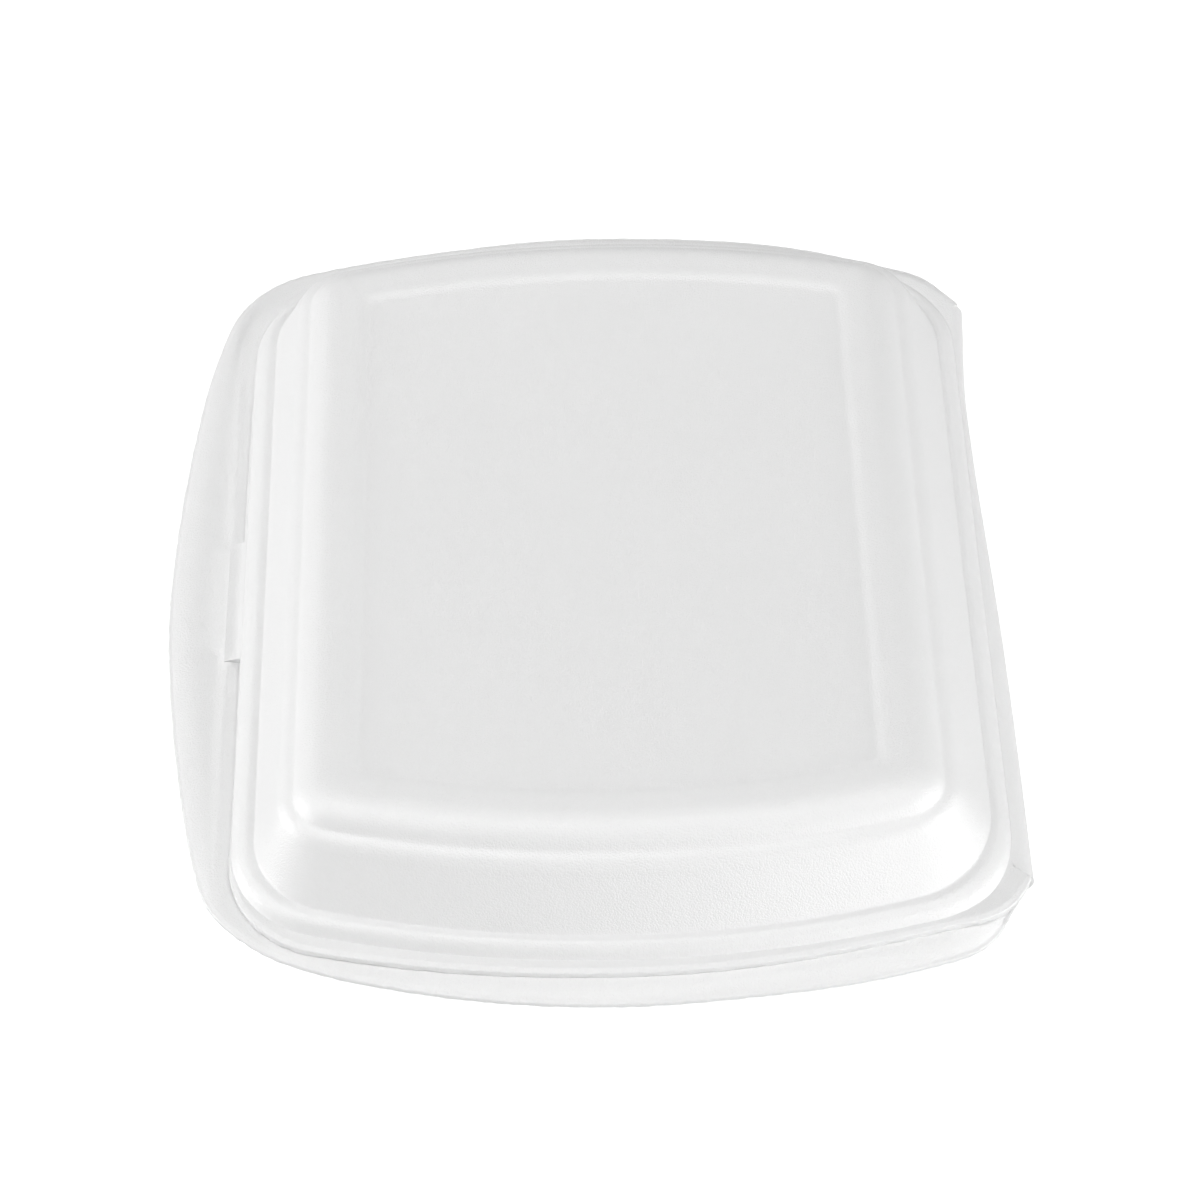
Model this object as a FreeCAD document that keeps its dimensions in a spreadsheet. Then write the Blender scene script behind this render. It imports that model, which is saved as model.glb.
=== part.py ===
import FreeCAD, Part
import math
import os
import Sketcher

# A closed foam takeaway box: a deep tray with a flat flange, and a lid in three tiers whose
# back edge folds on a living hinge. The tray's flange widens at the front into a curved lip,
# and the lid's tongue goes down through a slot in that lip.
# Frame: X from the lip (minus) to the hinge (plus), Y along the hinge, Z up, bottom at Z = 0.

doc = FreeCAD.newDocument("foam_box")
sheet = doc.addObject("Spreadsheet::Sheet", "Sizes")

# Sizes in millimetres, the lid's tilt in degrees.
GENERAL = {
    "foam": 2.2,
    "tray_height": 40.5,
    "flange_half_y": 121.6,
    "flange_bow": 265.0,
    "lip_reach": 108.3,
    "lip_bow": 370.0,
    "lip_corner": 30.0,
    "hinge_corner": 24.0,
    "fold_x": 91.1,
    "fold_length": 182.0,
    "fold_clearance": 0.3,
    "slot_x": 92.9,
    "slot_width": 3.4,
    "slot_length": 34.8,
    "tongue_x": 92.4,
    "tongue_foam": 1.6,
    "tongue_width": 33.6,
    "tongue_depth": 9.0,
    "tongue_bend": 1.2,
    "lid_tilt": 1.0,
    "seat_clearance": 0.2,
    "lid_front": 92.0,
    "lid_flange_half_y": 115.5,
    "lid_flange_bow": 350.0,
    "lid_front_corner": 26.0,
    "lid_hinge_corner": 22.0,
    "panel_half_x": 59.5,
    "panel_half_y": 80.0,
    "panel_bow": 285.0,
    "panel_corner": 2.5,
    "panel_depth": 1.4,
    "ridge_run": 2.6,
    "ridge_corner": 4.0,
}

# Lid tiers from the flange up: distance out from the ridge, height, corner radius, bow radius.
LID_TIERS = {
    "foot": (29.4, 2.2, 25.0, 300.0),
    "bead_side": (28.6, 3.9, 24.3, 297.0),
    "bead_top": (27.0, 4.9, 23.0, 290.0),
    "low_crease": (24.6, 5.2, 21.0, 276.0),
    "wall_head": (16.4, 19.2, 14.0, 286.0),
    "wall_brow": (14.6, 20.7, 12.5, 288.0),
    "high_crease": (12.6, 21.4, 11.0, 290.0),
    "shoulder_low": (11.0, 23.6, 9.6, 288.0),
    "shoulder_high": (8.3, 25.3, 7.5, 287.0),
    "crown": (4.9, 26.1, 5.5, 286.0),
}

# Shares of the foam's thickness by which the lid's inside lies in from and below each tier.
LID_INSIDE = {
    "bead_side": (0.73, 1.0),
    "bead_top": (0.5, 0.98),
    "low_crease": (0.55, 1.02),
    "wall_head": (0.86, 0.5),
    "wall_brow": (0.5, 0.87),
    "high_crease": (0.64, 0.84),
    "shoulder_low": (0.68, 0.75),
    "shoulder_high": (0.39, 0.93),
    "crown": (0.14, 1.0),
}

# Tray levels from the bottom up: half length in X and in Y, height, corner radius, bow radius.
TRAY_LEVELS = {
    "sole": (60.0, 82.0, 0.0, 12.0, 285.0),
    "toe": (62.6, 84.6, 1.2, 14.0, 285.0),
    "heel": (64.2, 86.2, 4.0, 15.0, 284.0),
    "wall": (78.5, 100.4, 33.5, 19.0, 278.0),
    "step": (80.8, 102.6, 35.2, 20.0, 276.0),
    "rim": (83.6, 104.6, 38.3, 21.0, 275.0),
}

# Shares of the foam's thickness by which the tray's inside lies in from and above each level.
TRAY_INSIDE = {
    "sole": (0.1, 1.0),
    "toe": (0.59, 0.8),
    "heel": (0.87, 0.5),
    "wall": (0.78, 0.63),
    "step": (0.77, 0.64),
    "rim": (0.87, 0.5),
}


def listed_sizes():
    sizes = dict(GENERAL)
    for name, (out, up, corner, bow) in LID_TIERS.items():
        sizes[f"lid_{name}_out"] = out
        sizes[f"lid_{name}_up"] = up
        sizes[f"lid_{name}_corner"] = corner
        sizes[f"lid_{name}_bow"] = bow
    for name, (half_x, half_y, up, corner, bow) in TRAY_LEVELS.items():
        sizes[f"tray_{name}_half_x"] = half_x
        sizes[f"tray_{name}_half_y"] = half_y
        sizes[f"tray_{name}_up"] = up
        sizes[f"tray_{name}_corner"] = corner
        sizes[f"tray_{name}_bow"] = bow
    return sizes


SIZES = listed_sizes()
for row, (alias, size) in enumerate(SIZES.items(), start=1):
    sheet.set(f"A{row}", alias)
    sheet.set(f"B{row}", str(size))
    sheet.setAlias(f"B{row}", alias)
doc.recompute()


# A length is a list of (alias, share) pairs, so that its number and its formula agree.
def amount(terms):
    return sum(SIZES[alias] * share for alias, share in terms)


def formula(terms):
    return " + ".join(f"{share} * Sizes.{alias}" for alias, share in terms)


def one(alias, share=1.0):
    return [(alias, share)]


def less(first, second):
    return first + [(alias, -share) for alias, share in second]


def origin_plane(body, role):
    for feature in body.Origin.OriginFeatures:
        if feature.Role == role:
            return feature
    raise RuntimeError(f"{body.Label} has no plane {role}")


def plane_sketch(body, name, role, height=None):
    sketch = body.newObject("Sketcher::SketchObject", name)
    sketch.AttachmentSupport = [(origin_plane(body, role), "")]
    sketch.MapMode = "FlatFace"
    if height:
        sketch.setExpression("AttachmentOffset.Base.z", formula(height))
    return sketch


def size_constraint(sketch, kind, places, terms):
    index = sketch.addConstraint(Sketcher.Constraint(kind, *places, amount(terms)))
    sketch.setExpression(f"Constraints[{index}]", formula(terms))


def arc(centre, radius, start, end):
    circle = Part.Circle(FreeCAD.Vector(centre[0], centre[1], 0), FreeCAD.Vector(0, 0, 1), radius)
    return Part.ArcOfCircle(circle, start, end)


def line(start, end):
    return Part.LineSegment(FreeCAD.Vector(start[0], start[1], 0), FreeCAD.Vector(end[0], end[1], 0))


# An outline whose plus X end is straight, whose sides in Y are bowed, and whose minus X end is
# straight, or bowed when front_bow is given. It is symmetric about the X axis. Edges run
# anticlockwise: back end, corner, side, corner, front end, corner, side, corner.
def outline(body, name, height, back, front, half_y, bow, back_corner, front_corner, front_bow=None):
    sketch = plane_sketch(body, name, "XY_Plane", height)
    back_x, front_x, side, side_y = amount(back), amount(front), amount(bow), amount(half_y)
    back_r, front_r = amount(back_corner), amount(front_corner)
    side_centre = side_y - side

    def on_side(centre_x, corner_r):
        return side_centre + math.sqrt((side - corner_r) ** 2 - centre_x ** 2)

    right_x = back_x - back_r
    right_y = on_side(right_x, back_r)
    right_angle = math.atan2(right_y - side_centre, right_x)
    if front_bow:
        end_r = amount(front_bow)
        end_x = end_r - front_x
        # The corner's centre, at known distances from the centres of the side and of the end.
        gap = math.hypot(end_x, side_centre)
        along = ((side - front_r) ** 2 - (end_r - front_r) ** 2 + gap ** 2) / (2 * gap)
        across = math.sqrt((side - front_r) ** 2 - along ** 2)
        left_x = (along * end_x + across * side_centre) / gap
        left_y = side_centre + (across * end_x - along * side_centre) / gap
        end_angle = math.atan2(left_y, left_x - end_x)
    else:
        left_x = front_r - front_x
        left_y = on_side(left_x, front_r)
        end_angle = math.pi
    left_angle = math.atan2(left_y - side_centre, left_x)
    turn = 2 * math.pi
    if front_bow:
        front_end = arc((end_x, 0), end_r, end_angle, turn - end_angle)
    else:
        front_end = line((-front_x, left_y), (-front_x, -left_y))
    sketch.addGeometry([
        line((back_x, -right_y), (back_x, right_y)),
        arc((right_x, right_y), back_r, 0, right_angle),
        arc((0, side_centre), side, right_angle, left_angle),
        arc((left_x, left_y), front_r, left_angle, end_angle),
        front_end,
        arc((left_x, -left_y), front_r, turn - end_angle, turn - left_angle),
        arc((0, -side_centre), side, turn - left_angle, turn - right_angle),
        arc((right_x, -right_y), back_r, turn - right_angle, turn),
    ], False)
    for edge in range(8):
        sketch.addConstraint(Sketcher.Constraint("Tangent", edge, 2, (edge + 1) % 8, 1))
    sketch.addConstraint(Sketcher.Constraint("Vertical", 0))
    sketch.addConstraint(Sketcher.Constraint("Equal", 1, 7))
    sketch.addConstraint(Sketcher.Constraint("Equal", 3, 5))
    sketch.addConstraint(Sketcher.Constraint("Equal", 2, 6))
    sketch.addConstraint(Sketcher.Constraint("PointOnObject", 2, 3, -2))
    sketch.addConstraint(Sketcher.Constraint("PointOnObject", 6, 3, -2))
    size_constraint(sketch, "Radius", (1,), back_corner)
    size_constraint(sketch, "Radius", (2,), bow)
    size_constraint(sketch, "Radius", (3,), front_corner)
    size_constraint(sketch, "DistanceX", (-1, 1, 0, 1), back)
    size_constraint(sketch, "DistanceY", (2, 3, -1, 1), less(bow, half_y))
    size_constraint(sketch, "DistanceY", (-1, 1, 6, 3), less(bow, half_y))
    if front_bow:
        sketch.addConstraint(Sketcher.Constraint("PointOnObject", 4, 3, -1))
        size_constraint(sketch, "Radius", (4,), front_bow)
        size_constraint(sketch, "DistanceX", (-1, 1, 4, 3), less(front_bow, front))
    else:
        sketch.addConstraint(Sketcher.Constraint("Vertical", 4))
        size_constraint(sketch, "DistanceX", (4, 1, -1, 1), front)
    return sketch


def even_outline(body, name, height, half_x, half_y, bow, corner):
    return outline(body, name, height, half_x, half_x, half_y, bow, corner, corner)


# A quarter roll round a centre at fold_x and the given height, from the flange's edge to a
# level end that stops just short of the centre's height. It is half of the living hinge.
def fold_roll(body, name, centre, inner, outer, turns_up):
    sketch = plane_sketch(body, name, "XZ_Plane")
    x, height, small, large = SIZES["fold_x"], amount(centre), amount(inner), amount(outer)
    stop = SIZES["fold_clearance"] / 2

    def quarter(radius):
        short = math.asin(stop / radius)
        if turns_up:
            return arc((x, height), radius, -math.pi / 2, -short)
        return arc((x, height), radius, short, math.pi / 2)

    def level_point(radius):
        return x + math.sqrt(radius ** 2 - stop ** 2), height - stop if turns_up else height + stop

    edge_end, level_end = (1, 2) if turns_up else (2, 1)
    side = -1 if turns_up else 1
    sketch.addGeometry([
        quarter(large),
        quarter(small),
        line((x, height + side * large), (x, height + side * small)),
        line(level_point(large), level_point(small)),
    ], False)
    sketch.addConstraint(Sketcher.Constraint("Coincident", 0, edge_end, 2, 1))
    sketch.addConstraint(Sketcher.Constraint("Coincident", 1, edge_end, 2, 2))
    sketch.addConstraint(Sketcher.Constraint("Coincident", 0, level_end, 3, 1))
    sketch.addConstraint(Sketcher.Constraint("Coincident", 1, level_end, 3, 2))
    sketch.addConstraint(Sketcher.Constraint("Coincident", 0, 3, 1, 3))
    sketch.addConstraint(Sketcher.Constraint("Vertical", 2))
    sketch.addConstraint(Sketcher.Constraint("PointOnObject", 0, 3, 2))
    sketch.addConstraint(Sketcher.Constraint("Horizontal", 3))
    size_constraint(sketch, "Radius", (0,), outer)
    size_constraint(sketch, "Radius", (1,), inner)
    size_constraint(sketch, "DistanceX", (-1, 1, 0, 3), one("fold_x"))
    if height > 0:
        size_constraint(sketch, "DistanceY", (-1, 1, 0, 3), centre)
    else:
        size_constraint(sketch, "DistanceY", (0, 3, -1, 1), less([], centre))
    level_places = (3, 1, 0, 3) if turns_up else (0, 3, 3, 1)
    size_constraint(sketch, "DistanceY", level_places, one("fold_clearance", 0.5))
    return sketch


def box_sketch(body, name, height, low_x, high_x, width):
    # A rectangle on the minus X side, from low_x to high_x short of the origin, centred in Y.
    sketch = plane_sketch(body, name, "XY_Plane", height)
    near, far, half = amount(low_x), amount(high_x), amount(width) / 2
    corners = [(-far, -half), (-near, -half), (-near, half), (-far, half)]
    sketch.addGeometry([line(corners[i], corners[(i + 1) % 4]) for i in range(4)], False)
    for edge in range(4):
        sketch.addConstraint(Sketcher.Constraint("Coincident", edge, 2, (edge + 1) % 4, 1))
    for edge, way in ((0, "Horizontal"), (2, "Horizontal"), (3, "Vertical")):
        sketch.addConstraint(Sketcher.Constraint(way, edge))
    sketch.addConstraint(Sketcher.Constraint("Symmetric", 1, 1, 1, 2, -1))
    size_constraint(sketch, "DistanceX", (1, 1, -1, 1), low_x)
    size_constraint(sketch, "DistanceX", (3, 1, -1, 1), high_x)
    size_constraint(sketch, "DistanceY", (1, 1, 1, 2), width)
    return sketch


# The lid's tongue from the front: down from the flange's top, with a bend at its outer top.
def tongue_sketch(body, name):
    sketch = plane_sketch(body, name, "XZ_Plane")
    near = SIZES["tongue_x"] - SIZES["tongue_foam"] / 2
    far = SIZES["tongue_x"] + SIZES["tongue_foam"] / 2
    top, low, bend = SIZES["foam"], -SIZES["tongue_depth"], SIZES["tongue_bend"]
    sketch.addGeometry([
        line((-near, low), (-near, top)),
        line((-near, top), (bend - far, top)),
        arc((bend - far, top - bend), bend, math.pi / 2, math.pi),
        line((-far, top - bend), (-far, low)),
        line((-far, low), (-near, low)),
    ], False)
    for edge, following in ((0, 1), (3, 4), (4, 0)):
        sketch.addConstraint(Sketcher.Constraint("Coincident", edge, 2, following, 1))
    sketch.addConstraint(Sketcher.Constraint("Tangent", 1, 2, 2, 1))
    sketch.addConstraint(Sketcher.Constraint("Tangent", 2, 2, 3, 1))
    for edge, way in ((0, "Vertical"), (1, "Horizontal"), (3, "Vertical"), (4, "Horizontal")):
        sketch.addConstraint(Sketcher.Constraint(way, edge))
    size_constraint(sketch, "DistanceX", (0, 2, -1, 1), less(one("tongue_x"), one("tongue_foam", 0.5)))
    size_constraint(sketch, "DistanceX", (4, 1, 4, 2), one("tongue_foam"))
    size_constraint(sketch, "DistanceY", (-1, 1, 0, 2), one("foam"))
    size_constraint(sketch, "DistanceY", (0, 1, -1, 1), one("tongue_depth"))
    size_constraint(sketch, "Radius", (2,), one("tongue_bend"))
    return sketch


def pad(body, name, sketch, length, both_ways=False):
    feature = body.newObject("PartDesign::Pad", name)
    feature.Profile = sketch
    feature.Midplane = both_ways
    feature.setExpression("Length", formula(length))
    doc.recompute()
    return feature


def loft(body, kind, name, sketches):
    feature = body.newObject(f"PartDesign::{kind}", name)
    feature.Profile = sketches[0]
    feature.Sections = sketches[1:]
    feature.Ruled = True
    doc.recompute()
    return feature


def tray_outline(name, level, inward=0.0, upward=0.0, height=None):
    parts = f"tray_{level}_"
    return even_outline(
        tray, name, height or one(parts + "up") + one("foam", upward),
        one(parts + "half_x") + one("foam", -inward),
        one(parts + "half_y") + one("foam", -inward),
        one(parts + "bow"),
        one(parts + "corner") + one("foam", -inward),
    )


def lid_outline(name, tier, inward=0.0, downward=0.0, height=None):
    parts = f"lid_{tier}_"
    out = one("ridge_run") + one(parts + "out") + one("foam", -inward)
    return even_outline(
        lid, name, height or one(parts + "up") + one("foam", -downward),
        one("panel_half_x") + out,
        one("panel_half_y") + out,
        one(parts + "bow"),
        one(parts + "corner") + one("foam", -inward),
    )


def panel_outline(name, height, outward, corner):
    return even_outline(
        lid, name, height,
        one("panel_half_x") + outward,
        one("panel_half_y") + outward,
        one("panel_bow"),
        corner,
    )


# Two sizes that follow from others: the flanges' clear height at the fold, which is the lid's
# seat clearance plus the rise of its tilt, and the shift that centres the box on its origin.
FOLLOWING = {
    "fold_gap": "seat_clearance + (lid_front + fold_x) * sin(lid_tilt * 1 deg)",
    "tray_shift": "(lip_reach - fold_x - fold_gap / 2 - foam) / 2",
}
tilt = math.radians(SIZES["lid_tilt"])
SIZES["fold_gap"] = SIZES["seat_clearance"] + (SIZES["lid_front"] + SIZES["fold_x"]) * math.sin(tilt)
for row, (alias, rule) in enumerate(FOLLOWING.items(), start=len(SIZES) + 1):
    sheet.set(f"A{row}", alias)
    sheet.set(f"B{row}", f"={rule}")
    sheet.setAlias(f"B{row}", alias)
doc.recompute()

FOLD_INNER = one("fold_gap", 0.5)
FOLD_OUTER = one("fold_gap", 0.5) + one("foam")
HALF_FOAM = one("foam", 0.5)

# Tray: a bowed, tapering dish with a flat flange, a slot in the lip and half of the fold.
tray = doc.addObject("PartDesign::Body", "tray")
levels = [tray_outline(f"outside_{level}", level) for level in TRAY_LEVELS]
loft(tray, "AdditiveLoft", "dish", levels)
flange = outline(
    tray, "flange_edge", one("tray_height") + one("foam", -1.0),
    one("fold_x"), one("lip_reach"), one("flange_half_y"), one("flange_bow"),
    one("hinge_corner"), one("lip_corner"), one("lip_bow"),
)
pad(tray, "flange", flange, one("foam"))
insides = [
    tray_outline(f"inside_{level}", level, inward, upward)
    for level, (inward, upward) in TRAY_INSIDE.items()
]
mouth = tray_outline("mouth", "rim", 0.87, height=one("tray_height") + one("foam"))
loft(tray, "SubtractiveLoft", "hollow", insides + [mouth])
slot_sketch = box_sketch(
    tray, "slot_edge", one("tray_height"),
    less(one("slot_x"), one("slot_width", 0.5)), one("slot_x") + one("slot_width", 0.5), one("slot_length"),
)
slot = tray.newObject("PartDesign::Pocket", "slot")
slot.Profile = slot_sketch
slot.setExpression("Length", "2 * Sizes.foam")
fold_centre = one("tray_height") + FOLD_INNER
roll = fold_roll(tray, "fold_profile", fold_centre, FOLD_INNER, FOLD_OUTER, True)
pad(tray, "fold", roll, one("fold_length"), True)
tray.setExpression("Placement.Base.x", "Sizes.tray_shift")

# Lid: bead, main wall and shouldered top tier round a sunk panel, with a narrow flange, the
# front tongue and the other half of the fold. Its own frame has the flange's underside at Z = 0.
lid = doc.addObject("PartDesign::Body", "lid")
tiers = [lid_outline(f"outside_{tier}", tier) for tier in LID_TIERS]
loft(lid, "AdditiveLoft", "dome", tiers)
lid_flange = outline(
    lid, "flange_edge", None,
    one("fold_x"), one("lid_front"), one("lid_flange_half_y"), one("lid_flange_bow"),
    one("lid_hinge_corner"), one("lid_front_corner"),
)
pad(lid, "flange", lid_flange, one("foam"))
mouth = lid_outline("mouth", "foot", 1.0, height=one("foam", -1.0))
insides = [
    lid_outline(f"inside_{tier}", tier, inward, downward)
    for tier, (inward, downward) in LID_INSIDE.items()
]
loft(lid, "SubtractiveLoft", "hollow", [mouth] + insides)
crown = one("lid_crown_up")
sunk = less(crown, one("panel_depth"))
recess = [
    panel_outline("recess_floor", sunk, [], one("panel_corner")),
    panel_outline("recess_mouth", crown, one("ridge_run"), one("ridge_corner")),
]
loft(lid, "SubtractiveLoft", "recess", recess)
plateau = [
    panel_outline("plateau_face", sunk + one("foam", -1.0), HALF_FOAM, one("panel_corner")),
    panel_outline("plateau_root", crown + one("foam", -1.0), one("ridge_run") + HALF_FOAM, one("ridge_corner")),
]
loft(lid, "AdditiveLoft", "plateau", plateau)
pad(lid, "tongue", tongue_sketch(lid, "tongue_profile"), one("tongue_width"), True)
roll = fold_roll(lid, "fold_profile", less([], FOLD_INNER), FOLD_INNER, FOLD_OUTER, False)
pad(lid, "fold", roll, one("fold_length"), True)
# Turning about minus Y lifts the plus X side, so the lid leans down on its front edge.
lid.Placement.Rotation = FreeCAD.Rotation(FreeCAD.Vector(0, -1, 0), SIZES["lid_tilt"])
lid.setExpression("Placement.Rotation.Angle", "Sizes.lid_tilt * 1 deg")
lid.setExpression(
    "Placement.Base.x",
    "Sizes.tray_shift - Sizes.lid_front + Sizes.lid_front * cos(Sizes.lid_tilt * 1 deg)",
)
lid.setExpression(
    "Placement.Base.z",
    "Sizes.tray_height + Sizes.seat_clearance + Sizes.lid_front * sin(Sizes.lid_tilt * 1 deg)",
)
doc.recompute()

for body in (tray, lid):
    for feature in [body] + list(body.Group):
        if "Invalid" in feature.State or "Error" in feature.State:
            raise RuntimeError(f"{body.Label} {feature.Label} did not build: {feature.State}")
    solids = body.Shape.Solids
    if len(solids) != 1 or not body.Shape.isValid():
        raise RuntimeError(f"{body.Label} is not one valid solid")

os.makedirs("parts", exist_ok=True)
for body in (tray, lid):
    body.Shape.exportStep(f"parts/{body.Label}.step")
    box = body.Shape.BoundBox
    print(body.Label, "volume cm3", round(body.Shape.Volume / 1000, 2), "faces", len(body.Shape.Faces))
    print("  box", [round(v, 2) for v in (box.XMin, box.XMax, box.YMin, box.YMax, box.ZMin, box.ZMax)])
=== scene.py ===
import math

import bpy
import numpy as np
from mathutils import Matrix, Vector


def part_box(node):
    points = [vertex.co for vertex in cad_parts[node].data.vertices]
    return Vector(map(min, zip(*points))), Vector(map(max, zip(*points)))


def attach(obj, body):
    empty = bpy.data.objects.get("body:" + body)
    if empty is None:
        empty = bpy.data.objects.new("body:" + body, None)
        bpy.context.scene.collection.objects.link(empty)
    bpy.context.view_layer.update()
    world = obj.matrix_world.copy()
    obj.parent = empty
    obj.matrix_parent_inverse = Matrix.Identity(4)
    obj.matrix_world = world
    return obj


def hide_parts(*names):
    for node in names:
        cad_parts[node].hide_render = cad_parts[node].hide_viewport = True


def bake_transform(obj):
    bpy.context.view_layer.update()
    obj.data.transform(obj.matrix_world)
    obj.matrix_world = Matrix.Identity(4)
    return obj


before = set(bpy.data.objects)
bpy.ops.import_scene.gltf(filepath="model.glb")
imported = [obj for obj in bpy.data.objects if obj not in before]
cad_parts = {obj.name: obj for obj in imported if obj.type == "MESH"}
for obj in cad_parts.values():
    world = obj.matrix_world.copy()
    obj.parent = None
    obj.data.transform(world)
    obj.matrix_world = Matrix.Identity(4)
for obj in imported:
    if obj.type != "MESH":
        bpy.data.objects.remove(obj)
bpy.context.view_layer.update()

# A closed white foam takeaway box: tray, lid and the living hinge between them, one moulded sheet.
# Sizes are in millimetres in the tray's own frame, X from the lip (minus) to the hinge (plus).
MM = 0.001
FOAM = 2.2
TRAY_HEIGHT = 40.5
LIP_REACH = 108.3
LID_TILT = math.radians(1.0)
LID_FRONT = 92.0
LID_EDGE_X = 90.8
SEAT_CLEARANCE = 0.2

# The hinge is a half roll of foam round a centre at this X. It is squashed flatter at one place,
# which fades over a longer spread toward the near end than toward the far end.
FOLD_X = 91.6
FOLD_HALF_LENGTH = 90.0
FOLD_REACH = 4.25
FOLD_SQUASH = 2.6
FOLD_SQUASH_Y = 56.0
FOLD_NEAR_SPREAD = 60.0
FOLD_FAR_SPREAD = 30.0
# The roll runs this far past its length, and its hollow closes over the last stretch. The hollow
# is this share as deep as the roll.
FOLD_OVERRUN = 0.6
FOLD_CLOSING = 3
FOLD_HOLLOW = 0.42

# The tray's middle lies this far toward the hinge from the middle of the whole box.
TRAY_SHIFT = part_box("tray")[0].x / MM + LIP_REACH

# How many points each stretch of an outline takes, so that all rings join point to point.
HINGE_STEPS = 64
CORNER_STEPS = 30
SIDE_STEPS = 118
LIP_STEPS = 34
SLOT_ZONE = 24

# The slot for the tongue, in the lip beside the lid's front edge.
SLOT_INNER_X = 91.3
SLOT_OUTER_X = 94.6
SLOT_LOW_Y = -22
SLOT_HIGH_Y = 15
ACROSS_SLOT = (1.0, 0.77, 0.55, 0.35, 0.18)
SLOT_ROWS = len(ACROSS_SLOT)

# The tongue fills the slot but for this gap. Its section is in the lid's frame, X and height.
TONGUE_GAP = 0.1
TONGUE_SECTION = [
    (-90.5, 2.2),
    (-91.0, 1.7),
    (-91.9, 1.25),
    (-93.2, 1.1),
    (-94.57, 1.3),
    (-94.5, -4.0),
    (-94.0, -6.0),
    (-92.4, -9.0),
    (-91.2, -1.6),
    (-90.2, 0.0),
]
# At its two ends the tongue's top is a straight slope through this X and height.
TONGUE_END_X = -94.57
TONGUE_END_HEIGHT = 0.75
TONGUE_END_SLOPE = 0.305

# The ridge's inner edge, half way across the box in X and in Y. Lid profiles go out from it.
RIDGE_HALF_X = 62.1
RIDGE_HALF_Y = 82.6

# Lid from the panel outward: distance out from the ridge's inner edge, height, rounding.
LID_PROFILE = [
    (-6.0, 25.05, 0.0),
    (-2.6, 25.05, 0.9),
    (0.0, 26.1, 1.3),
    (4.9, 26.1, 6.0),
    (8.3, 25.3, 4.0),
    (11.0, 23.6, 3.0),
    (12.6, 21.4, 0.6),
    (14.6, 20.7, 2.4),
    (16.4, 19.2, 4.0),
    (24.6, 5.2, 0.5),
    (26.2, 5.6, 1.6),
    (28.2, 4.4, 1.8),
    (29.2, 2.2, 0.3),
    (29.3, 2.2, 0.0),
]
LID_UNDERSIDE = [
    (28.3, 0.0, 0.0),
    (27.2, 0.0, 0.4),
    (26.9, 1.9, 0.8),
    (25.7, 3.0, 0.8),
    (23.4, 3.1, 0.4),
    (14.6, 18.1, 2.0),
    (13.4, 18.9, 1.5),
    (11.3, 19.6, 0.5),
    (9.5, 22.0, 2.5),
    (7.4, 23.3, 3.0),
    (4.6, 23.9, 3.0),
    (1.1, 23.9, 0.8),
    (-1.5, 22.5, 0.8),
    (-6.0, 22.5, 0.0),
]
# How an outline's corner radius and side bow change with its distance out from the ridge.
LID_OUT = (-2.6, 0.0, 4.9, 8.3, 11.0, 12.6, 14.6, 16.4, 24.6, 27.0, 29.4)
LID_CORNER = (2.5, 4.0, 5.5, 7.5, 9.6, 11.0, 12.5, 14.0, 21.0, 23.0, 25.0)
LID_HINGE_CORNER = (2.5, 4.0, 5.5, 7.5, 9.6, 11.0, 12.5, 14.5, 25.0, 26.0, 26.0)
# The lid's front wall is steeper than the others: its foot stands this far in.
LID_FRONT_IN = (0.0, 0.0, 0.0, 0.0, 0.0, 0.0, 0.0, 0.2, 1.8, 1.3, 0.9)
LID_BOW = (285.0, 285.0, 286.0, 287.0, 288.0, 290.0, 288.0, 286.0, 276.0, 290.0, 300.0)

# Tray from the bottom's edge up: distance out from the sole, height, rounding.
SOLE_HALF_X = 60.0
SOLE_HALF_Y = 82.0
TRAY_PROFILE = [
    (-6.0, 0.0, 0.0),
    (0.0, 0.0, 1.5),
    (2.6, 1.2, 3.0),
    (4.2, 4.0, 3.0),
    (18.5, 33.5, 1.0),
    (20.8, 35.2, 2.0),
    (23.6, 38.3, 1.2),
    (25.4, 38.3, 0.0),
]
TRAY_INSIDE = [
    (23.6, 40.5, 0.0),
    (21.7, 40.5, 1.2),
    (21.6, 39.4, 1.0),
    (19.1, 36.6, 1.0),
    (16.8, 34.9, 1.0),
    (2.3, 5.1, 3.0),
    (1.3, 3.0, 2.0),
    (-0.2, 2.2, 1.0),
    (-6.0, 2.2, 0.0),
]
TRAY_OUT = (0.0, 2.6, 4.2, 18.5, 20.8, 23.6)
TRAY_CORNER = (12.0, 14.0, 15.0, 19.0, 20.0, 21.0)
TRAY_BOW = (285.0, 285.0, 284.0, 278.0, 276.0, 275.0)

# Places where the tray's edge is pressed in, or out where the depth is negative: X, Y, depth, spread.
TRAY_EDGE_DENTS = [
    (-88.0, -104.0, 1.9, 15.0),
    (93.0, -99.0, 2.3, 10.0),
    (20.0, 121.0, -0.7, 40.0),
    (-37.0, 120.0, 0.8, 22.0),
    (48.0, 118.0, -0.6, 22.0),
    (29.0, -120.0, 0.6, 22.0),
    (76.0, 108.0, 0.8, 12.0),
    (-100.0, 72.0, -0.6, 18.0),
]
LID_EDGE_DENTS = [
    (91.0, -100.0, -1.3, 11.0),
    (89.0, 100.0, 0.9, 13.0),
    (-82.0, 103.0, 1.9, 20.0),
]
# The side bows of the lid's edge have their middle this far toward the lip.
LID_EDGE_SHIFT = 4
# The tray's near half is this share as wide as its far half.
NEAR_SHARE = 0.9935
# The tray's flange rises to the tilted lid. Its edge rises this share of the way.
EDGE_LIFT = 0.4

# Relief of the wide front lip: the band along the lid, the low arch across the lip, and the
# valley at the far corner, which lies at this X and Y and has this spread.
LIP_BAND = 0.75
LIP_ARCH = 0.32
LIP_VALLEY = 2.0
LIP_FAR_CORNER = (-84, 103, 24)
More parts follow.
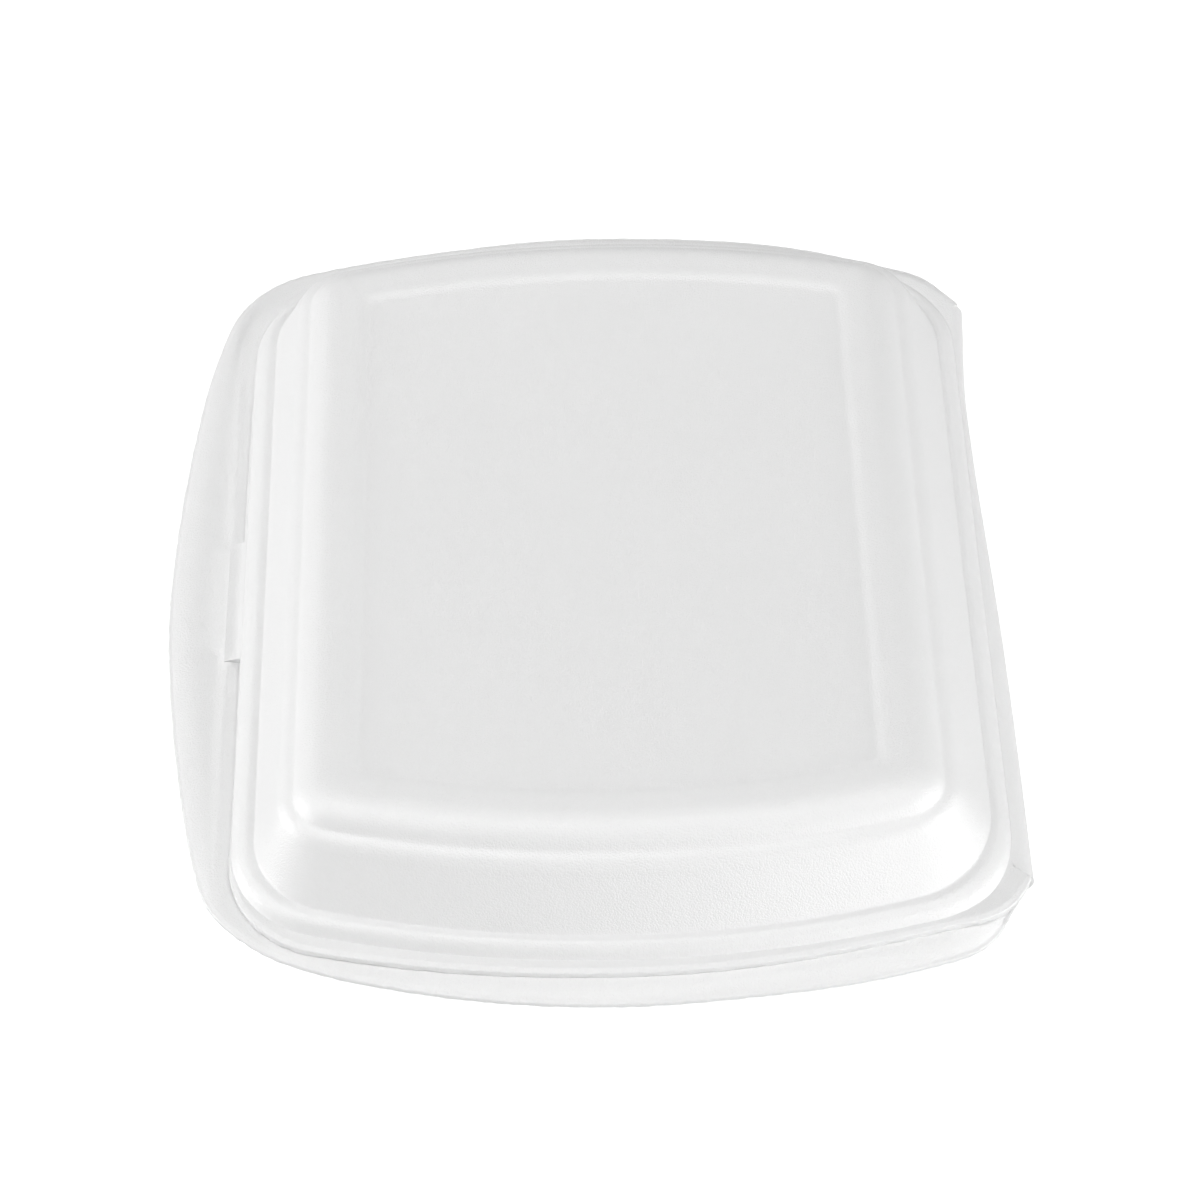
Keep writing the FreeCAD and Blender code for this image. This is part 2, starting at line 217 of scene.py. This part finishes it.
# Where the foam at the slot's near end is torn up, or down where the height is negative: X, Y,
# height, spread.
SLOT_TEARS = [
    (-93.2, -23.4, 0.7, 1.0),
    (-96.6, -20.0, -0.9, 1.7),
]

# Long straight runs of a profile are divided into parts no longer than this.
RUN_LENGTH = 3.0
# A cut edge is thinner than its flange: how much is lost on top, and under the tray and the lid.
PINCH_TOP = 0.3
TRAY_UNDER_PINCH = 0.45
LID_UNDER_PINCH = 0.03
# The flanges reach this far into the fold's roll.
FOLD_OVERLAP = 0.25


def outline(back, front, half_y, bow, back_corner, front_corner, front_bow=None):
    """A closed outline, anticlockwise from the middle of the hinge end, symmetric in Y."""
    side_centre = half_y - bow

    def corner_y(x, corner):
        return side_centre + math.sqrt((bow - corner) ** 2 - x * x)

    def arc(x, y, radius, start, end, steps):
        angle = np.linspace(start, end, steps + 1)[:-1]
        return np.stack([x + radius * np.cos(angle), y + radius * np.sin(angle)], 1)

    back_x = back - back_corner
    back_y = corner_y(back_x, back_corner)
    back_turn = math.atan2(back_y - side_centre, back_x)
    if front_bow:
        end_x = front_bow - front
        gap = math.hypot(end_x, side_centre)
        along = ((bow - front_corner) ** 2 - (front_bow - front_corner) ** 2 + gap ** 2) / (2 * gap)
        across = math.sqrt((bow - front_corner) ** 2 - along ** 2)
        front_x = (along * end_x + across * side_centre) / gap
        front_y = side_centre + (across * end_x - along * side_centre) / gap
        front_turn = math.atan2(front_y, front_x - end_x)
    else:
        front_x = front_corner - front
        front_y = corner_y(front_x, front_corner)
        front_turn = math.pi
    side_turn = math.atan2(front_y - side_centre, front_x)
    front_top = front_y + front_corner * math.sin(front_turn)
    lip_y = np.concatenate([
        np.linspace(front_top, SLOT_ZONE, LIP_STEPS + 1)[:-1],
        np.arange(SLOT_ZONE, -1, -1),
    ])
    if front_bow:
        lip_x = end_x - np.sqrt(front_bow ** 2 - lip_y ** 2)
    else:
        lip_x = np.full(len(lip_y), -front)
    hinge_y = np.linspace(0, back_y, HINGE_STEPS + 1)[:-1]
    half = np.concatenate([
        np.stack([np.full(HINGE_STEPS, back), hinge_y], 1),
        arc(back_x, back_y, back_corner, 0, back_turn, CORNER_STEPS),
        arc(0, side_centre, bow, back_turn, side_turn, SIDE_STEPS),
        arc(front_x, front_y, front_corner, side_turn, front_turn, CORNER_STEPS),
        np.stack([lip_x, lip_y], 1),
    ])
    return np.concatenate([half, (half * (1, -1))[-2:0:-1]])


def outward(ring):
    """The direction square to the outline at each point."""
    along = np.roll(ring, -1, 0) - np.roll(ring, 1, 0)
    along /= np.linalg.norm(along, axis=1)[:, None]
    return np.stack([along[:, 1], -along[:, 0]], 1)


def moved_out(ring, distance):
    return ring + outward(ring) * np.reshape(distance, (-1, 1))


def rounded(points, steps=5):
    """A profile as a smooth line: bends are rounded and long runs are divided."""
    line = [np.array(points[0][:2])]
    for before, here, after in zip(points, points[1:], points[2:]):
        corner = np.array(here[:2])
        to_before = np.array(before[:2]) - corner
        to_after = np.array(after[:2]) - corner
        shorter = min(np.linalg.norm(to_before), np.linalg.norm(to_after))
        reach = min(here[2], 0.47 * shorter)
        start = corner + to_before / np.linalg.norm(to_before) * reach
        end = corner + to_after / np.linalg.norm(to_after) * reach
        for share in np.linspace(0, 1, steps):
            line.append((1 - share) ** 2 * start + 2 * share * (1 - share) * corner + share ** 2 * end)
    line.append(np.array(points[-1][:2]))
    divided = [line[0]]
    for start, end in zip(line, line[1:]):
        parts = max(1, math.ceil(np.linalg.norm(end - start) / RUN_LENGTH))
        divided += [start + (end - start) * share / parts for share in range(1, parts + 1)]
    return divided


def wander(count, seed, low, high, size):
    """A small closed wave with random parts, low to high of them round the outline."""
    random = np.random.default_rng(seed)
    turn = np.linspace(0, 2 * math.pi, count, endpoint=False)
    wave = np.zeros(count)
    for times in range(low, high):
        wave += np.cos(times * turn + random.uniform(0, 2 * math.pi)) * random.normal()
    return wave / wave.std() * size


def level(ring, height):
    return np.column_stack([ring, np.broadcast_to(height, len(ring))])


def lid_ring(out):
    front = RIDGE_HALF_X + out - np.interp(out, LID_OUT, LID_FRONT_IN)
    hinge_corner = np.interp(out, LID_OUT, LID_HINGE_CORNER)
    corner = np.interp(out, LID_OUT, LID_CORNER)
    bow = np.interp(out, LID_OUT, LID_BOW)
    ring = outline(RIDGE_HALF_X + out, front, RIDGE_HALF_Y + out, bow, hinge_corner, corner)
    return dented(ring, LID_EDGE_DENTS, np.interp(out, (24.6, 28.5), (0, 1)))


def tray_ring(out):
    corner = np.interp(out, TRAY_OUT, TRAY_CORNER)
    bow = np.interp(out, TRAY_OUT, TRAY_BOW)
    return outline(SOLE_HALF_X + out, SOLE_HALF_X + out, SOLE_HALF_Y + out, bow, corner, corner)


def inner_rings(ring, height):
    """Rings that fill a flat face, smallest first."""
    return [level(ring * share, height) for share in (0.2, 0.45, 0.7, 0.88)]


def near(ring, x, y, spread):
    """A soft spot: one at the given place, fading to zero round it."""
    return np.exp(-((ring[:, 0] - x) ** 2 + (ring[:, 1] - y) ** 2) / spread ** 2)


def dented(ring, dents, share=1.0):
    """The ring pressed in softly round each given place, by a share of the full depth."""
    inward = sum(depth * near(ring, x, y, spread) for x, y, depth, spread in dents)
    return moved_out(ring, -inward * share)


def past_fold(ring):
    """How far each point lies beyond the fold's end. Points away from the hinge count as far."""
    return np.where(ring[:, 0] > 80, np.abs(ring[:, 1]) - FOLD_HALF_LENGTH, 99.0)


def trimmed_at_hinge(ring):
    """An edge outline cut back to the fold along the hinge, with a short slope past its ends."""
    trimmed = ring.copy()
    trimmed[:, 0] = np.minimum(ring[:, 0], FOLD_X + 4 * np.clip(past_fold(ring), 0, None))
    return trimmed


def cut_edge(ring, inside, top, bottom, under_pinch, seed):
    """Rings round a flange's thin cut edge, from its top face to its underside.

    Where the flange is narrow outside its inside ring, the rings crowd together.
    """
    room = np.sum((ring - inside[:, :2]) * outward(ring), axis=1)
    crowd = np.clip(room / 1.4, 0.02, 1)
    pinch = np.clip(past_fold(ring) / 5, 0, 1)
    upper = top - PINCH_TOP * pinch
    lower = bottom + under_pinch * pinch
    under_round = 0.1 + 0.6 * under_pinch
    rows = [
        (1.1, top, 0.0), (0.7, upper, 0.3), (0.4, upper, 0.8),
        (0.1, upper - 0.1 * pinch, 1.0), (0.0, upper - 0.35 * pinch, 1.0),
        (0.0, lower + under_round * pinch, 1.0), (0.1, lower + 0.3 * under_round * pinch, 1.0),
        (0.4, lower, 0.8), (0.7, lower, 0.3), (1.1, bottom, 0.0),
    ]
    rings = []
    for number, (inset, height, ragged) in enumerate(rows):
        rough = wander(len(ring), seed + number // 5, 60, 240, 0.05) * ragged
        shift = np.where(past_fold(ring) < 0, FOLD_OVERLAP, rough) - inset * crowd
        rings.append(level(moved_out(ring, shift), height))
    return rings


def between(first, second, shares):
    return [first + (second - first) * share for share in shares]


def mesh_of_rings(name, rings, open_at=None):
    """One skin through the rings, with both ends closed. Faces between two rings can be left out."""
    count = len(rings[0])
    points = np.concatenate(rings)
    faces = []
    for row in range(len(rings) - 1):
        for column in range(count):
            following = (column + 1) % count
            if open_at and open_at(row, column):
                continue
            faces.append((
                row * count + column, row * count + following,
                (row + 1) * count + following, (row + 1) * count + column,
            ))
    faces.append(tuple(range(count))[::-1])
    faces.append(tuple((len(rings) - 1) * count + column for column in range(count)))
    return name, points, faces


def piece(name, points, faces):
    used = np.unique(np.concatenate(faces))
    number = np.zeros(len(points), int)
    number[used] = np.arange(len(used))
    points = points[used]
    faces = [tuple(number[list(face)].tolist()) for face in faces]
    mesh = bpy.data.meshes.new(name)
    mesh.from_pydata((points * MM).tolist(), [], faces)
    mesh.validate()
    mesh.update()
    mesh.shade_smooth()
    mesh.set_sharp_from_angle(angle=math.radians(50))
    made = bpy.data.objects.new(name, mesh)
    bpy.context.collection.objects.link(made)
    return made


def lid_edge_outline():
    """The lid's cut edge. It is ragged, and it follows the tray's edge round the hinge corners."""
    ring = outline(
        back=100.2, front=LID_EDGE_X - LID_EDGE_SHIFT, half_y=115.1, bow=300.0,
        back_corner=22.0, front_corner=26.0,
    ) - (LID_EDGE_SHIFT, 0)
    ring = dented(ring, LID_EDGE_DENTS)
    ring = moved_out(ring, wander(len(ring), 3, 3, 14, 0.12))
    return trimmed_at_hinge(ring)


def tray_edge_outline():
    """The tray's cut edge. Its near half is narrower, but reaches out where it rises to the lid."""
    ring = outline(
        back=95.5, front=LIP_REACH + 0.5, half_y=121.6, bow=265.0,
        back_corner=24.0, front_corner=30.0, front_bow=370.0,
    )
    ring[:, 1] *= np.where(ring[:, 1] < 0, NEAR_SHARE, 1.0)
    reach = 0.8 * EDGE_LIFT * up_to_lid(ring) * np.clip(past_fold(ring) / 12, 0, 1)
    ring[:, 1] -= np.where(ring[:, 1] < 0, reach, 0)
    ring = dented(ring, TRAY_EDGE_DENTS)
    ring = moved_out(ring, wander(len(ring), 4, 3, 14, 0.12))
    return trimmed_at_hinge(ring)


def with_tongue(cut):
    """The lid's cut edge with the tongue bent down out of its front.

    The tongue's top is hollow along its middle and a straight slope at its two ends.
    """
    y = cut[0][:, 1]
    tongue = (cut[0][:, 0] < -80) & (y > SLOT_LOW_Y + 0.5) & (y < SLOT_HIGH_Y - 0.5)
    columns = (SLOT_LOW_Y + 1, SLOT_LOW_Y + 3, SLOT_HIGH_Y - 3, SLOT_HIGH_Y - 1)
    places = (SLOT_LOW_Y + TONGUE_GAP, SLOT_LOW_Y + 3, SLOT_HIGH_Y - 3, SLOT_HIGH_Y - TONGUE_GAP)
    ends = np.interp(y[tongue], columns, (1, 0, 0, 1))
    for ring, (x, height) in zip(cut, TONGUE_SECTION):
        straight = TONGUE_END_HEIGHT + TONGUE_END_SLOPE * (x - TONGUE_END_X)
        change = straight - height if 0.5 < height < 2 else 0
        ring[tongue, 0] = x
        ring[tongue, 1] = np.interp(y[tongue], columns, places)
        ring[tongue, 2] = height + ends * change
    return cut


def lid_rings():
    top = rounded(LID_PROFILE)
    rings = inner_rings(lid_ring(top[0][0]), top[0][1])
    rings += [level(lid_ring(out), up) for out, up in top]
    rings[-1][:, 0] = np.minimum(rings[-1][:, 0], FOLD_X - 0.05)
    edge = lid_edge_outline()
    cut = with_tongue(cut_edge(edge, rings[-1], FOAM, 0.0, LID_UNDER_PINCH, 20))
    rings += between(rings[-1], cut[0], (0.3, 0.6, 0.85))
    rings += cut
    under = rounded(LID_UNDERSIDE)
    mouth = level(lid_ring(under[0][0]), under[0][1])
    rings += between(cut[-1], mouth, (0.3, 0.7))
    rings += [level(lid_ring(out), up) for out, up in under]
    rings += inner_rings(lid_ring(under[-1][0]), under[-1][1])[::-1]
    return rings


def in_row_frame(points):
    return points + (TRAY_SHIFT, 0, 0)


def lid_in_place(points):
    """From the lid's own frame, flange underside at zero, to its tilted place on the tray."""
    x, y, z = points.T
    tilted_x = LID_FRONT + x
    return in_row_frame(np.stack([
        tilted_x * math.cos(LID_TILT) - z * math.sin(LID_TILT) - LID_FRONT,
        y,
        tilted_x * math.sin(LID_TILT) + z * math.cos(LID_TILT) + TRAY_HEIGHT + SEAT_CLEARANCE,
    ], 1))


def up_to_lid(ring):
    """How far a tray flange must rise from its plane to touch the tilted lid."""
    return np.clip((ring[:, 0] + LID_FRONT) * math.sin(LID_TILT), 0, None) + SEAT_CLEARANCE - 0.05


def lip_relief(outer, edge, share):
    """The tray flange's height above its plane, at a share of the way from the slot's line to its edge.

    It rises to the tilted lid. The wide front lip has a band along the lid, a low arch, a drooping
    edge, a valley at the far corner, a rim beside the slot and a tear at the slot's near end.
    """
    place = outer + (edge - outer) * np.reshape(share, (-1, 1))
    width = np.linalg.norm(edge - outer, axis=1)
    distance = share * width
    roomy = np.clip((width - 5) / 6, 0, 1)
    y = outer[:, 1]
    beside_slot = np.where(outer[:, 0] < 0, 1.0, 0.0)
    beside_slot *= np.clip((y - SLOT_LOW_Y) / 1.5, 0, 1) * np.clip((SLOT_HIGH_Y - y) / 1.5, 0, 1)
    far_corner = near(place, *LIP_FAR_CORNER)
    valley = LIP_VALLEY * far_corner * np.exp(-(distance / 3.6) ** 2)
    rising = np.interp(distance, (-3.8, -3.4, -2.2, -0.8), (0.1, 0.15, 0.5, 1))
    band = LIP_BAND * rising * np.exp(-(np.clip(distance + 0.8, 0, None) / 1.9) ** 2) * (1 - far_corner)
    arch = LIP_ARCH * np.sin(math.pi * np.clip(share, 0, 1))
    rim = 0.9 * np.exp(-(distance / 3.0) ** 2) + 0.3 * np.exp(-(distance / 0.5) ** 2)
    drop = np.clip((distance - width + 6) / 6, 0, 1) ** 2 * (1 - far_corner)
    torn = sum(height * near(place, x, y, spread) for x, y, height, spread in SLOT_TEARS)
    fall = 1 - EDGE_LIFT * np.clip(past_fold(outer) / 12, 0, 1)
    lift = up_to_lid(place) * (1 - fall * np.clip(share, 0, 1) ** 2)
    strip = (band - valley) * (1 - beside_slot) + rim * beside_slot
    return lift + roomy * (strip + arch - drop + torn)


def tray_rings():
    """The tray's rings, and the rows between which the slot is open."""
    outside = rounded(TRAY_PROFILE)
    rings = inner_rings(tray_ring(outside[0][0]), outside[0][1])
    rings += [level(tray_ring(out), up) for out, up in outside]
    inner = outline(
        back=88.0, front=SLOT_INNER_X, half_y=111.0, bow=285.0, back_corner=24.0, front_corner=24.0,
    )
    outer = outline(
        back=90.0, front=SLOT_OUTER_X, half_y=114.5, bow=290.0, back_corner=24.0, front_corner=25.0,
    )
    under_height = TRAY_HEIGHT - FOAM
    edge = tray_edge_outline()
    cut = cut_edge(edge, outer, TRAY_HEIGHT, under_height, TRAY_UNDER_PINCH, 40)
    brink = cut[0][:, :2]
    shares = (0.0, 0.05, 0.1, 0.15, 0.2, 0.26, 0.32, 0.38, 0.45, 0.54, 0.66, 0.78, 0.9)

    def flange_rows(height):
        return [
            level(outer + (brink - outer) * share, height + lip_relief(outer, brink, share))
            for share in shares
        ]

    brink_height = lip_relief(outer, brink, 1.0)
    cut = [ring + np.column_stack([np.zeros((len(ring), 2)), brink_height]) for ring in cut]
    across_slot = []
    for share in ACROSS_SLOT:
        ring = outer + (inner - outer) * share
        gap = np.linalg.norm(ring - outer, axis=1)
        width = np.linalg.norm(brink - outer, axis=1)
        across_slot.append((ring, lip_relief(outer, brink, -gap / width)))
    under_slot = len(rings)
    rings += [level(ring, under_height + relief) for ring, relief in across_slot]
    rings += flange_rows(under_height)
    rings += cut[::-1]
    rings += flange_rows(TRAY_HEIGHT)[::-1]
    top_slot = len(rings) - 1
    rings += [level(ring, TRAY_HEIGHT + relief) for ring, relief in across_slot[::-1]]
    inside = rounded(TRAY_INSIDE)
    rings += [level(tray_ring(out), up) for out, up in inside]
    rings += inner_rings(tray_ring(inside[-1][0]), inside[-1][1])[::-1]
    return rings, (under_slot, top_slot)


def make_tray():
    rings, (under, top) = tray_rings()
    count = len(rings[0])
    y = rings[top][:, 1]
    front = rings[top][:, 0] < -SLOT_INNER_X + 0.5
    slot_columns = [
        column for column in range(count)
        if front[column] and SLOT_LOW_Y < y[column] <= SLOT_HIGH_Y
    ]

    def in_slot(row, column):
        across = under <= row < under + SLOT_ROWS or top <= row < top + SLOT_ROWS
        return across and column in slot_columns

    name, points, faces = mesh_of_rings("tray_foam", rings, in_slot)

    def wall(top_row, under_row, columns):
        for first, second in zip(columns, columns[1:]):
            faces.append((
                top_row * count + first, top_row * count + second,
                under_row * count + second, under_row * count + first,
            ))

    edge_columns = slot_columns + [slot_columns[-1] + 1]
    wall(top, under + SLOT_ROWS, edge_columns)
    wall(top + SLOT_ROWS, under, edge_columns[::-1])
    end = [*range(top + SLOT_ROWS, top - 1, -1), *range(under + SLOT_ROWS, under - 1, -1)]
    faces.append(tuple(row * count + edge_columns[0] for row in end))
    faces.append(tuple(row * count + edge_columns[-1] for row in end[::-1]))
    return piece(name, in_row_frame(points), faces)


def make_lid():
    name, points, faces = mesh_of_rings("lid_foam", lid_rings())
    return piece(name, lid_in_place(points), faces)


def fold_reach(y):
    """How far the roll stands out from its centre line. It is squashed toward the far end."""
    spread = FOLD_NEAR_SPREAD if y < FOLD_SQUASH_Y else FOLD_FAR_SPREAD
    return FOLD_REACH - FOLD_SQUASH * math.exp(-((y - FOLD_SQUASH_Y) / spread) ** 2)


def make_fold():
    """The living hinge: half a roll of foam from the tray's flange up to the lid's."""
    bottom = TRAY_HEIGHT
    top = TRAY_HEIGHT + SEAT_CLEARANCE + (LID_FRONT + FOLD_X) * math.sin(LID_TILT)
    centre = (bottom + top) / 2
    inner = (top - bottom) / 2
    angles = np.linspace(-math.pi / 2, math.pi / 2, 25)
    end = FOLD_HALF_LENGTH + FOLD_OVERRUN
    stations = np.linspace(-end, end, 131)
    loops = []
    for y in stations:
        reach = fold_reach(y)
        open_share = math.sqrt(min(1, (end - abs(y)) / FOLD_CLOSING))
        hollow = FOLD_HOLLOW * reach * open_share
        outer_skin = [(FOLD_X + reach * math.cos(a), y, centre + (inner + FOAM) * math.sin(a))
                      for a in angles]
        inner_skin = [(FOLD_X + hollow * math.cos(a), y, centre + inner * open_share * math.sin(a))
                      for a in angles[::-1]]
        loops.append(np.array(outer_skin + inner_skin))
    count = len(loops[0])
    points = np.concatenate(loops)
    faces = []
    for station in range(len(loops) - 1):
        for column in range(count):
            following = (column + 1) % count
            faces.append((
                station * count + column, station * count + following,
                (station + 1) * count + following, (station + 1) * count + column,
            ))
    half = count // 2
    last = (len(loops) - 1) * count
    for column in range(half - 1):
        ends = (column, column + 1, count - 2 - column, count - 1 - column)
        faces.append(ends[::-1])
        faces.append(tuple(last + corner for corner in ends))
    return piece("fold_foam", in_row_frame(points), faces)


def foam_grain_group():
    """Fine grain of expanded foam: a height for bump and a faint change of tone."""
    group = bpy.data.node_groups.new("foam_grain", "ShaderNodeTree")
    group.interface.new_socket("Vector", in_out="INPUT", socket_type="NodeSocketVector")
    group.interface.new_socket("Height", in_out="OUTPUT", socket_type="NodeSocketFloat")
    group.interface.new_socket("Tone", in_out="OUTPUT", socket_type="NodeSocketFloat")
    nodes, links = group.nodes, group.links
    given = nodes.new("NodeGroupInput")
    result = nodes.new("NodeGroupOutput")
    fine = nodes.new("ShaderNodeTexNoise")
    fine.inputs["Scale"].default_value = 2500
    fine.inputs["Detail"].default_value = 3
    broad = nodes.new("ShaderNodeTexNoise")
    broad.inputs["Scale"].default_value = 40
    broad.inputs["Detail"].default_value = 2
    for texture, output in ((fine, "Height"), (broad, "Tone")):
        links.new(given.outputs["Vector"], texture.inputs["Vector"])
        links.new(texture.outputs["Fac"], result.inputs[output])
    return group


def foam_material(grain):
    material = bpy.data.materials.new("white_foam")
    material.use_nodes = True
    nodes, links = material.node_tree.nodes, material.node_tree.links
    shader = nodes["Principled BSDF"]
    place = nodes.new("ShaderNodeTexCoord")
    grained = nodes.new("ShaderNodeGroup")
    grained.node_tree = grain
    links.new(place.outputs["Object"], grained.inputs["Vector"])
    bump = nodes.new("ShaderNodeBump")
    bump.inputs["Strength"].default_value = 0.9
    bump.inputs["Distance"].default_value = 0.0002
    links.new(grained.outputs["Height"], bump.inputs["Height"])
    links.new(bump.outputs["Normal"], shader.inputs["Normal"])
    tone = nodes.new("ShaderNodeValToRGB")
    tone.color_ramp.elements[0].position = 0.3
    tone.color_ramp.elements[0].color = (0.867, 0.867, 0.867, 1)
    tone.color_ramp.elements[1].position = 0.7
    tone.color_ramp.elements[1].color = (0.873, 0.873, 0.873, 1)
    links.new(grained.outputs["Tone"], tone.inputs["Fac"])
    links.new(tone.outputs["Color"], shader.inputs["Base Color"])
    shader.inputs["Roughness"].default_value = 0.3
    shader.inputs["IOR"].default_value = 1.9
    return material


def area_lamp(name, azimuth, elevation, distance, size, power):
    """A soft square lamp aimed at the box. Azimuth 0 is the camera's side, 90 the hinge's."""
    a, e = math.radians(azimuth), math.radians(elevation)
    back = Vector((math.sin(a) * math.cos(e), -math.cos(a) * math.cos(e), math.sin(e)))
    data = bpy.data.lights.new(name, "AREA")
    data.size = size
    data.energy = power
    lamp = bpy.data.objects.new(name, data)
    lamp.location = Vector((0, 0, 0.04)) + back * distance
    lamp.rotation_mode = "QUATERNION"
    lamp.rotation_quaternion = (-back).to_track_quat("-Z", "Y")
    bpy.context.collection.objects.link(lamp)
    return lamp


# Lamps: azimuth and elevation in degrees, distance and size in metres, power in watts.
LAMPS = {
    "left_low": (-90, 5, 1.8, 0.7, 18.0),
    "left_high": (-75, 62, 1.8, 0.5, 10.0),
    "left_back": (-130, 30, 1.8, 0.7, 3.6),
    "front_low": (30, 5, 1.8, 0.7, 6.5),
    "front_right": (30, 25, 1.8, 0.7, 4.5),
    "right_low": (75, 12, 1.8, 0.5, 12.0),
    "right_high": (60, 70, 1.8, 0.7, 8.4),
    "back": (180, 25, 1.8, 0.7, 4.2),
}


def make_world():
    """Even pale light all round, and plain white where the camera sees past the floor."""
    world = bpy.data.worlds.new("studio")
    bpy.context.scene.world = world
    world.use_nodes = True
    nodes, links = world.node_tree.nodes, world.node_tree.links
    backdrop = nodes["Background"]
    backdrop.inputs["Color"].default_value = (1, 1, 1, 1)
    backdrop.inputs["Strength"].default_value = 0.12
    seen = nodes.new("ShaderNodeBackground")
    seen.inputs["Color"].default_value = (1, 1, 1, 1)
    seen.inputs["Strength"].default_value = 1.0
    mix = nodes.new("ShaderNodeMixShader")
    rays = nodes.new("ShaderNodeLightPath")
    links.new(rays.outputs["Is Camera Ray"], mix.inputs["Fac"])
    links.new(backdrop.outputs["Background"], mix.inputs[1])
    links.new(seen.outputs["Background"], mix.inputs[2])
    links.new(mix.outputs["Shader"], nodes["World Output"].inputs["Surface"])


def make_floor():
    """A pale table top. The camera sees a little glow in it, so that it stays white up to the shadow."""
    size = 1.5
    corners = [(-size, -size, 0), (size, -size, 0), (size, size, 0), (-size, size, 0)]
    mesh = bpy.data.meshes.new("floor")
    mesh.from_pydata(corners, [], [(0, 1, 2, 3)])
    floor = bpy.data.objects.new("floor", mesh)
    bpy.context.collection.objects.link(floor)
    material = bpy.data.materials.new("pale_table")
    material.use_nodes = True
    nodes, links = material.node_tree.nodes, material.node_tree.links
    shader = nodes["Principled BSDF"]
    shader.inputs["Base Color"].default_value = (0.8, 0.8, 0.8, 1)
    shader.inputs["Roughness"].default_value = 0.9
    rays = nodes.new("ShaderNodeLightPath")
    shader.inputs["Emission Color"].default_value = (1, 1, 1, 1)
    glow = nodes.new("ShaderNodeMath")
    glow.operation = "MULTIPLY"
    glow.inputs[1].default_value = 0.6
    links.new(rays.outputs["Is Camera Ray"], glow.inputs[0])
    links.new(glow.outputs["Value"], shader.inputs["Emission Strength"])
    mesh.materials.append(material)


# The photograph's camera: place in the tray's frame, lens and sensor in millimetres, and angles in
# degrees.
CAMERA_PLACE = (-22.5, -551.8, 718.2)
CAMERA_HEADING = 2.061
CAMERA_PITCH = 51.0
CAMERA_ROLL = 0.901
CAMERA_LENS = 105.81
SENSOR = 36.0


def make_camera():
    heading, pitch, roll = (math.radians(v) for v in (CAMERA_HEADING, CAMERA_PITCH, CAMERA_ROLL))
    ahead = Vector((
        math.sin(heading) * math.cos(pitch), math.cos(heading) * math.cos(pitch), -math.sin(pitch),
    ))
    level_right = Vector((math.cos(heading), -math.sin(heading), 0))
    level_up = level_right.cross(ahead)
    right = level_right * math.cos(roll) + level_up * math.sin(roll)
    up = level_up * math.cos(roll) - level_right * math.sin(roll)
    data = bpy.data.cameras.new("photo_camera")
    data.lens = CAMERA_LENS
    data.sensor_width = SENSOR
    data.clip_end = 20
    camera = bpy.data.objects.new("photo_camera", data)
    place = (Vector(CAMERA_PLACE) + Vector((TRAY_SHIFT, 0, 0))) * MM
    turn = Matrix((right, up, -ahead)).transposed().to_4x4()
    camera.matrix_world = Matrix.Translation(place) @ turn
    bpy.context.collection.objects.link(camera)
    bpy.context.scene.camera = camera


foam = foam_material(foam_grain_group())
tray = make_tray()
lid = make_lid()
fold = make_fold()
for part in (tray, lid, fold):
    part.data.materials.append(foam)
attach(tray, "base")
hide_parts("tray")
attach(lid, "cover")
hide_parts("lid")
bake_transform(fold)

make_camera()
make_world()
make_floor()
for lamp_name, place in LAMPS.items():
    area_lamp(lamp_name, *place)
bpy.context.scene.view_settings.view_transform = "Standard"
